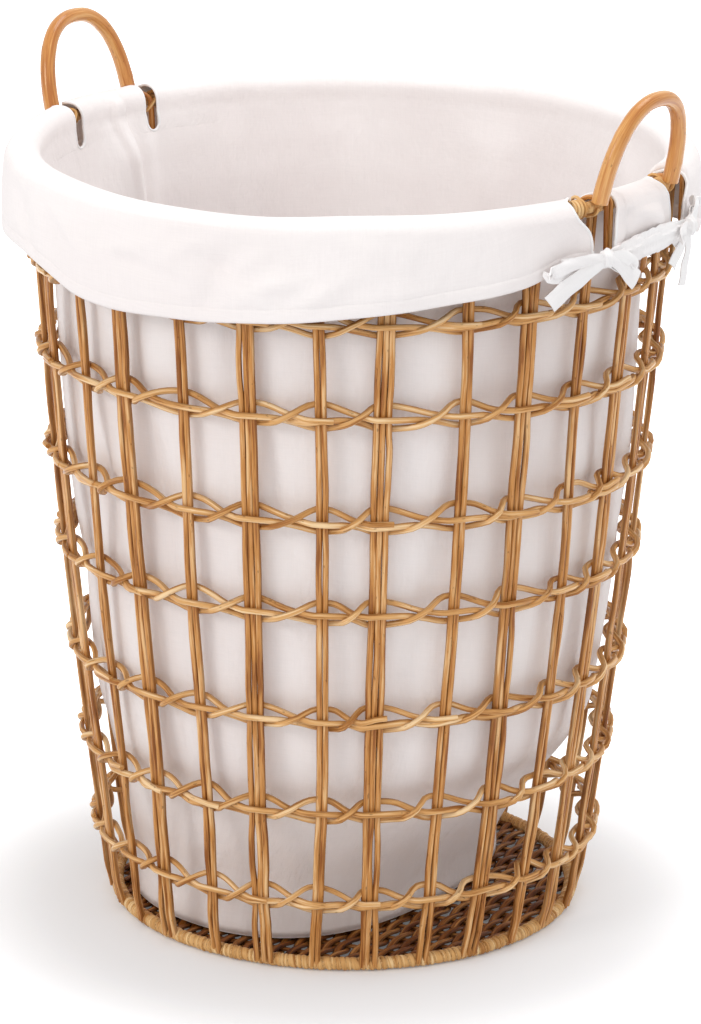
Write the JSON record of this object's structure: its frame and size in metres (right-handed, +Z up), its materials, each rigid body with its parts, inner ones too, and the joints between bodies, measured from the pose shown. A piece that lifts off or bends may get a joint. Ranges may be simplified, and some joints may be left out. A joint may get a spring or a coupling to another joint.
{
  "type": "laundry basket",
  "caption": "Tall round open-weave rattan laundry basket, wider at the rim, with two arched handles and a tied cloth liner folded over the rim.",
  "frame": {"origin": "on the floor under the middle of the base", "axes": "+Z up, X through the two handles, -Y towards the front cuff of the liner"},
  "size_m": [0.5118, 0.498, 0.6321],
  "materials": {
    "stake_rattan": "natural rattan rods, satin",
    "weaver_rattan": "natural rattan rods, satin",
    "wrapping_cane": "split cane, satin",
    "base_rattan": "natural rattan rods, matt",
    "handle_rattan": "smooth varnished rattan, glossy",
    "liner_cotton": "plain woven cotton, matt",
    "tie_cotton": "folded cotton ribbon, matt"
  },
  "bodies": {
    "basket": {"base_weave": "base_rattan", "base_hoop": "wrapping_cane", "stake_01": "stake_rattan", "stake_02": "stake_rattan", "stake_03": "stake_rattan", "stake_04": "stake_rattan", "stake_05": "stake_rattan", "stake_06": "stake_rattan", "stake_07": "stake_rattan", "stake_08": "stake_rattan", "stake_09": "stake_rattan", "stake_10": "stake_rattan", "stake_11": "stake_rattan", "stake_12": "stake_rattan", "stake_13": "stake_rattan", "stake_14": "stake_rattan", "stake_15": "stake_rattan", "stake_16": "stake_rattan", "stake_17": "stake_rattan", "stake_18": "stake_rattan", "stake_19": "stake_rattan", "stake_20": "stake_rattan", "stake_21": "stake_rattan", "stake_22": "stake_rattan", "stake_23": "stake_rattan", "stake_24": "stake_rattan", "stake_25": "stake_rattan", "stake_26": "stake_rattan", "stake_27": "stake_rattan", "stake_28": "stake_rattan", "twined_row_1": "weaver_rattan", "twined_row_2": "weaver_rattan", "twined_row_3": "weaver_rattan", "twined_row_4": "weaver_rattan", "twined_row_5": "weaver_rattan", "twined_row_6": "weaver_rattan", "twined_row_7": "weaver_rattan", "rim_hoop": "wrapping_cane", "handle_right": "handle_rattan", "handle_left": "handle_rattan", "lashing_right_front": "wrapping_cane", "lashing_right_back": "wrapping_cane", "lashing_left_back": "wrapping_cane", "lashing_left_front": "wrapping_cane"},
    "liner": {"liner_bottom_panel": "liner_cotton", "liner_side_panel": "liner_cotton", "liner_cuff_back": "liner_cotton", "liner_cuff_front": "liner_cotton", "liner_tab_right": "liner_cotton", "liner_tab_left": "liner_cotton", "bow_right_front": "tie_cotton", "bow_right_back": "tie_cotton", "bow_left_back": "tie_cotton", "bow_left_front": "tie_cotton"}
  },
  "joints": [
    {"name": "liner_lift", "type": "slide", "parent": "basket", "child": "liner", "axis": [0, 0, 1], "range_m": [0, 0.035]}
  ]
}
